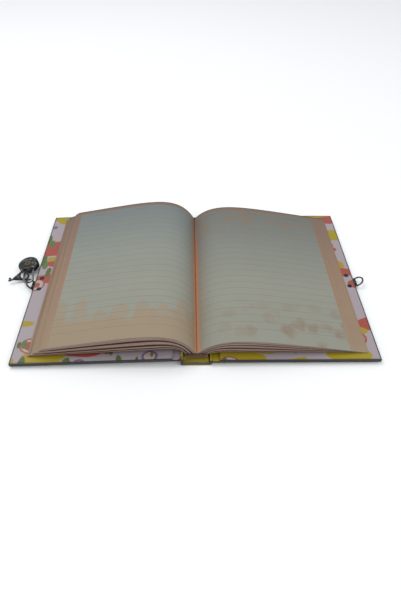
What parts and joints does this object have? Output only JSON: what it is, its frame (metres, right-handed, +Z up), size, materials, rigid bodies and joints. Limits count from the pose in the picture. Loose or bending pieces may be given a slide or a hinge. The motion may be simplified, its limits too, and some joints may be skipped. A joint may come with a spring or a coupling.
{
  "type": "diary with lock",
  "caption": "Open hardback diary with ruled pages, printed endpapers, rings on the fore edges and a round padlock with key on the front ring.",
  "frame": {"origin": "centre of the spine's flat underside", "axes": "+X towards the back cover, +Y towards the head of the pages, +Z up from the table"},
  "size_m": [0.3511, 0.206, 0.0298],
  "materials": {
    "cover_paper": "satin laminated paper",
    "printed_paper": "matt printed paper",
    "greyboard": "raw board",
    "page_paper": "uncoated paper",
    "cloth": "open weave",
    "band_cloth": "woven band",
    "dark_metal": "blackened",
    "ring_steel": "plain",
    "case_metal": "grey, satin",
    "shackle_steel": "polished",
    "inner_steel": "plain",
    "brass": "plain"
  },
  "bodies": {
    "spine": {"spine_wrap": "cover_paper", "spine_board": "greyboard", "spine_liner": "printed_paper", "spine_gauze": "cloth", "head_band": "band_cloth", "tail_band": "band_cloth"},
    "front_cover": {"front_wrap": "cover_paper", "front_board": "greyboard", "front_pastedown": "printed_paper", "front_ring_plate": "dark_metal", "front_rivets": "dark_metal", "front_flyleaf": "printed_paper", "front_lower_sections": "page_paper", "front_upper_sections": "page_paper"},
    "front_leaf": {"front_open_page": "page_paper"},
    "front_ring": {"front_ring": "ring_steel"},
    "back_cover": {"back_wrap": "cover_paper", "back_board": "greyboard", "back_pastedown": "printed_paper", "back_ring_plate": "dark_metal", "back_rivets": "dark_metal", "back_flyleaf": "printed_paper", "back_lower_sections": "page_paper", "back_upper_sections": "page_paper"},
    "back_leaf": {"back_open_page": "page_paper"},
    "back_ring": {"back_ring": "ring_steel"},
    "shackle": {"shackle": "shackle_steel"},
    "lock_case": {"lock_case_back": "case_metal", "lock_case_front": "case_metal", "lock_rivets": "shackle_steel", "lock_spring": "inner_steel"},
    "lock_plug": {"lock_plug": "brass"},
    "lock_pawl": {"lock_pawl": "inner_steel"},
    "key": {"key": "dark_metal"}
  },
  "joints": [
    {"name": "front_cover_hinge", "type": "hinge", "parent": "spine", "child": "front_cover", "pos_m": [-0.0135, 0, 0.007], "axis": [0, 1, 0], "range_deg": [0, 91.8], "deforming": ["front_flyleaf", "front_lower_sections", "front_upper_sections", "front_open_page"]},
    {"name": "back_cover_hinge", "type": "hinge", "parent": "spine", "child": "back_cover", "pos_m": [0.0125, 0, 0.0042], "axis": [0, -1, 0], "range_deg": [0, 90.7], "deforming": ["back_flyleaf", "back_lower_sections", "back_upper_sections", "back_open_page"]},
    {"name": "front_leaf_turn", "type": "hinge", "parent": "front_cover", "child": "front_leaf", "pos_m": [-0.01548, 0, 0.02446], "axis": [0, -1, 0], "range_deg": [-85, 0]},
    {"name": "back_leaf_turn", "type": "hinge", "parent": "back_cover", "child": "back_leaf", "pos_m": [0.01987, 0, 0.02004], "axis": [0, 1, 0], "range_deg": [-85, 0]},
    {"name": "front_ring_swing", "type": "hinge", "parent": "front_cover", "child": "front_ring", "pos_m": [-0.1596, -0.006, 0.00223], "axis": [0, 1, 0], "range_deg": [-52, 25]},
    {"name": "back_ring_swing", "type": "hinge", "parent": "back_cover", "child": "back_ring", "pos_m": [0.15867, -0.006, 0.00226], "axis": [0, -1, 0], "range_deg": [-110, 60]},
    {"name": "shackle_swing", "type": "hinge", "parent": "front_ring", "child": "shackle", "pos_m": [-0.16335, -0.00177, 0.00649], "axis": [-0.5584, -0.5344, 0.6345], "range_deg": [-16, 14]},
    {"name": "case_slide", "type": "slide", "parent": "shackle", "child": "lock_case", "axis": [-0.2107, 0.9774, -0.0173], "range_m": [0, 0.005]},
    {"name": "plug_turn", "type": "hinge", "parent": "lock_case", "child": "lock_plug", "pos_m": [-0.16934, 0.0207, 0.00549], "axis": [-0.1363, -0.0119, 0.9906], "range_deg": [0, 90]},
    {"name": "pawl_slide", "type": "slide", "parent": "lock_case", "child": "lock_pawl", "axis": [0.968, 0.2111, 0.1357], "range_m": [0, 0.0006]},
    {"name": "key_swing", "type": "hinge", "parent": "shackle", "child": "key", "pos_m": [-0.17064, 0.00558, 0.00513], "axis": [-0.2107, 0.9774, -0.0173], "range_deg": [-30, 75]}
  ],
  "couplings": [
    {"joint": "plug_turn", "follows": "pawl_slide", "rad_per_m": 2618}
  ]
}
